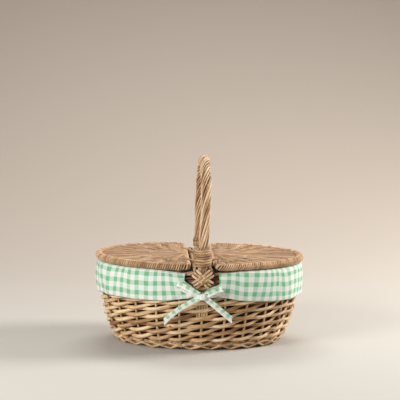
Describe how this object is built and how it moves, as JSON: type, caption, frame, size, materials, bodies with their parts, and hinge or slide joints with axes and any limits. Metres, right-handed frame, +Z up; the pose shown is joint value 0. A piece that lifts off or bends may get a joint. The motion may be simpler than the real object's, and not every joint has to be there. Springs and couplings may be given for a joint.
{
  "type": "lidded wicker basket",
  "caption": "Oval willow picnic basket with an arched handle, two half-oval lids hinged on a centre bar, and a checked cloth liner tied with bows.",
  "frame": {"origin": "middle of the underside that the basket stands on", "axes": "+X along the long axis of the oval, -Y the front with its bow, +Z up"},
  "size_m": [0.398, 0.321, 0.3549],
  "materials": {
    "wall_willow": "satin peeled willow, honey tan",
    "stake_willow": "satin peeled willow rod",
    "handle_willow": "satin twisted willow rods",
    "lid_willow": "satin fine willow",
    "gingham_cloth": "matt plain-weave cotton, woven check",
    "ribbon": "matt woven ribbon"
  },
  "bodies": {
    "basket": {"base_sticks_cross": "stake_willow", "base_sticks_long": "stake_willow", "base_weave_under": "wall_willow", "base_weave_upper": "wall_willow", "bow_back_knot": "ribbon", "bow_back_left_loop": "ribbon", "bow_back_left_tail": "ribbon", "bow_back_right_loop": "ribbon", "bow_back_right_tail": "ribbon", "bow_front_knot": "ribbon", "bow_front_left_loop": "ribbon", "bow_front_left_tail": "ribbon", "bow_front_right_loop": "ribbon", "bow_front_right_tail": "ribbon", "centre_bar_rods": "lid_willow", "centre_bar_weave": "lid_willow", "cross_lashing_back": "handle_willow", "cross_lashing_front": "handle_willow", "cuff_left": "gingham_cloth", "cuff_right": "gingham_cloth", "foot_wale": "wall_willow", "handle_bow": "handle_willow", "handle_collar_back": "handle_willow", "handle_collar_front": "handle_willow", "handle_legs": "stake_willow", "handle_wrap": "handle_willow", "hinge_loop_left_back": "lid_willow", "hinge_loop_left_front": "lid_willow", "hinge_loop_right_back": "lid_willow", "hinge_loop_right_front": "lid_willow", "liner": "gingham_cloth", "rim_border": "wall_willow", "stakes": "stake_willow", "top_wale": "wall_willow", "wall_weave_inner": "wall_willow", "wall_weave_outer": "wall_willow"},
    "left_lid": {"left_hinge_rod": "lid_willow", "left_lid_border": "lid_willow", "left_lid_bow": "lid_willow", "left_lid_hoops": "lid_willow", "left_lid_ribs": "lid_willow", "left_lid_weave_top": "lid_willow", "left_lid_weave_under": "lid_willow"},
    "right_lid": {"right_hinge_rod": "lid_willow", "right_lid_border": "lid_willow", "right_lid_bow": "lid_willow", "right_lid_hoops": "lid_willow", "right_lid_ribs": "lid_willow", "right_lid_weave_top": "lid_willow", "right_lid_weave_under": "lid_willow"}
  },
  "joints": [
    {"name": "left_lid_hinge", "type": "hinge", "parent": "basket", "child": "left_lid", "pos_m": [-0.026, 0, 0.16], "axis": [0, 1, 0], "range_deg": [0, 90]},
    {"name": "right_lid_hinge", "type": "hinge", "parent": "basket", "child": "right_lid", "pos_m": [0.026, 0, 0.16], "axis": [0, -1, 0], "range_deg": [0, 90]}
  ]
}
